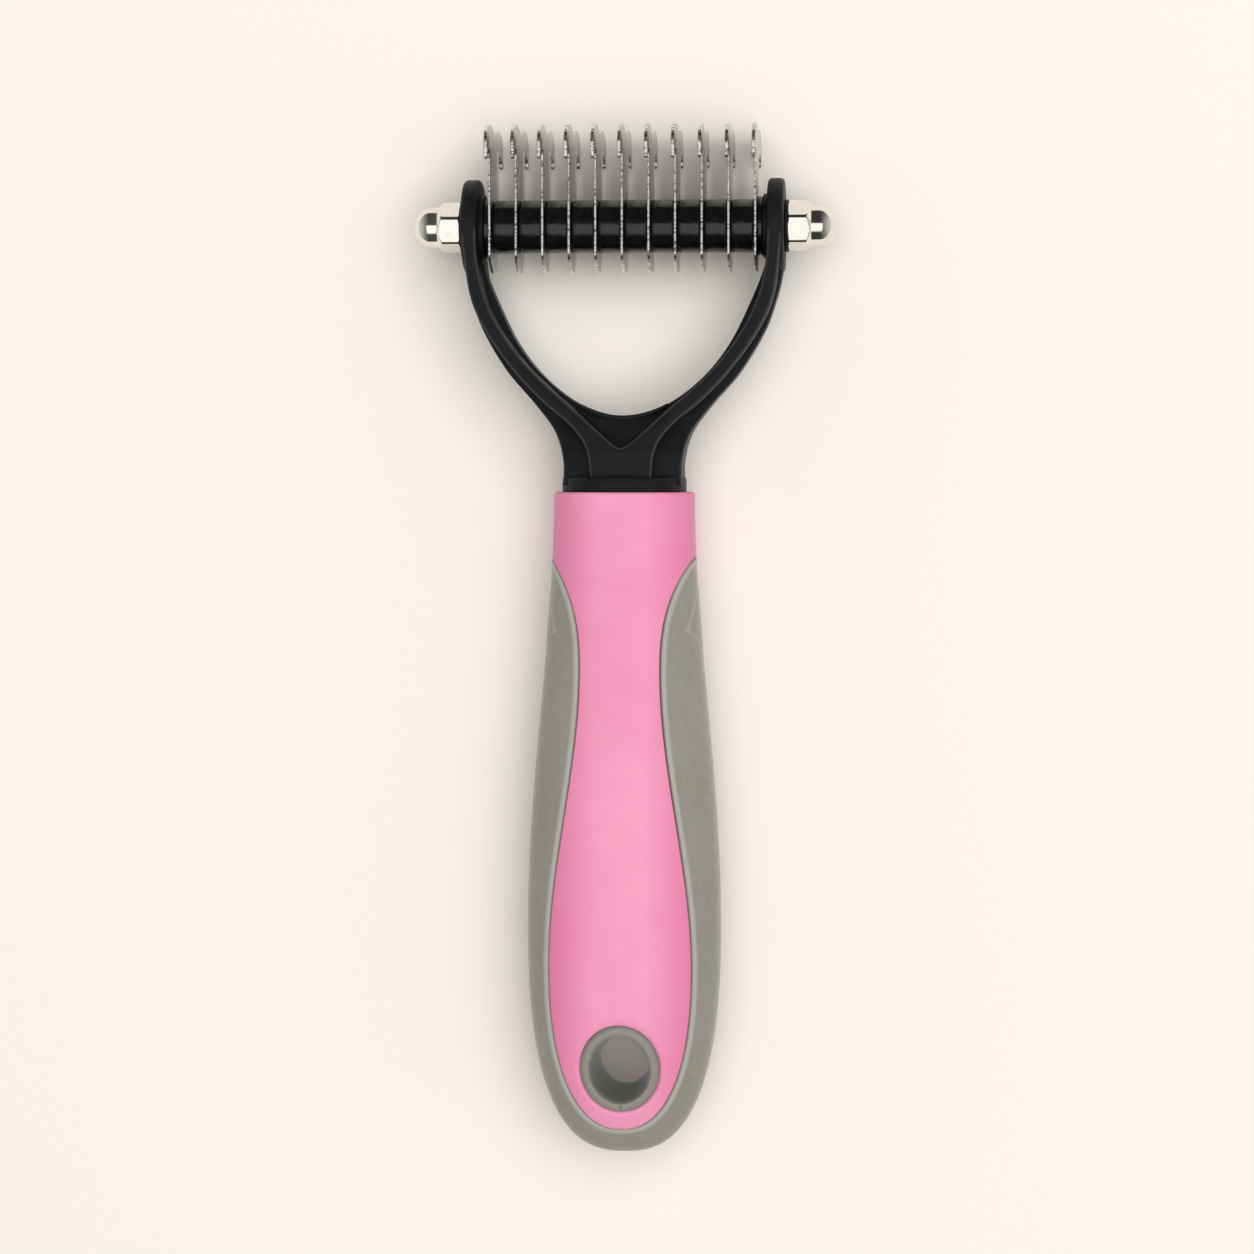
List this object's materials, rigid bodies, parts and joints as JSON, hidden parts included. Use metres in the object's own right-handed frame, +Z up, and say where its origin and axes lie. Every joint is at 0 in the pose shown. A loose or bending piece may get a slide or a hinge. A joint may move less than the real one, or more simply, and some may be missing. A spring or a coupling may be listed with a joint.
{
  "type": "undercoat rake",
  "caption": "Dog undercoat rake: soft-grip handle with a hanging hole, ribbed fork, and a row of hooked blades on an axle closed by cap nuts.",
  "frame": {"origin": "middle of the underside of the rake lying flat", "axes": "+Y from the butt of the handle to the blades, +X along the axle, +Z up along the hanging hole"},
  "size_m": [0.0716, 0.1741, 0.024],
  "materials": {
    "pink_plastic": "satin",
    "grey_rubber": "matte",
    "black_nylon": "satin",
    "black_gloss": "gloss",
    "blade_steel": "polished",
    "axle_steel": "plain",
    "nut_chrome": "polished"
  },
  "bodies": {
    "handle": {"handle_core": "pink_plastic", "grip": "grey_rubber", "hang_hole_liner": "grey_rubber", "yoke": "black_nylon"},
    "blade_set": {"axle": "axle_steel", "blade_01": "blade_steel", "blade_02": "blade_steel", "blade_03": "blade_steel", "blade_04": "blade_steel", "blade_05": "blade_steel", "blade_06": "blade_steel", "blade_07": "blade_steel", "blade_08": "blade_steel", "blade_09": "blade_steel", "blade_10": "blade_steel", "blade_11": "blade_steel", "spacer_01": "black_gloss", "spacer_02": "black_gloss", "spacer_03": "black_gloss", "spacer_04": "black_gloss", "spacer_05": "black_gloss", "spacer_06": "black_gloss", "spacer_07": "black_gloss", "spacer_08": "black_gloss", "spacer_09": "black_gloss", "spacer_10": "black_gloss", "left_end_collar": "black_gloss", "right_end_collar": "black_gloss"},
    "left_washer": {"left_washer": "black_nylon"},
    "left_nut": {"left_cap_nut": "nut_chrome"},
    "right_washer": {"right_washer": "black_nylon"},
    "right_nut": {"right_cap_nut": "nut_chrome"}
  },
  "joints": [
    {"name": "blade_set_turn", "type": "hinge", "parent": "handle", "child": "blade_set", "pos_m": [0, 0.0703, 0.012], "axis": [1, 0, 0], "range_deg": [-100, 100]},
    {"name": "left_nut_travel", "type": "slide", "parent": "blade_set", "child": "left_washer", "axis": [-1, 0, 0], "range_m": [0, 0.0064]},
    {"name": "left_nut_spin", "type": "hinge", "parent": "left_washer", "child": "left_nut", "pos_m": [-0.0301, 0.0703, 0.012], "axis": [-1, 0, 0], "range_deg": [0, 2881]},
    {"name": "right_nut_travel", "type": "slide", "parent": "blade_set", "child": "right_washer", "axis": [1, 0, 0], "range_m": [0, 0.0064]},
    {"name": "right_nut_spin", "type": "hinge", "parent": "right_washer", "child": "right_nut", "pos_m": [0.0301, 0.0703, 0.012], "axis": [1, 0, 0], "range_deg": [0, 2881]}
  ],
  "couplings": [
    {"joint": "left_nut_spin", "follows": "left_nut_travel", "rad_per_m": 7854},
    {"joint": "right_nut_spin", "follows": "right_nut_travel", "rad_per_m": 7854}
  ]
}
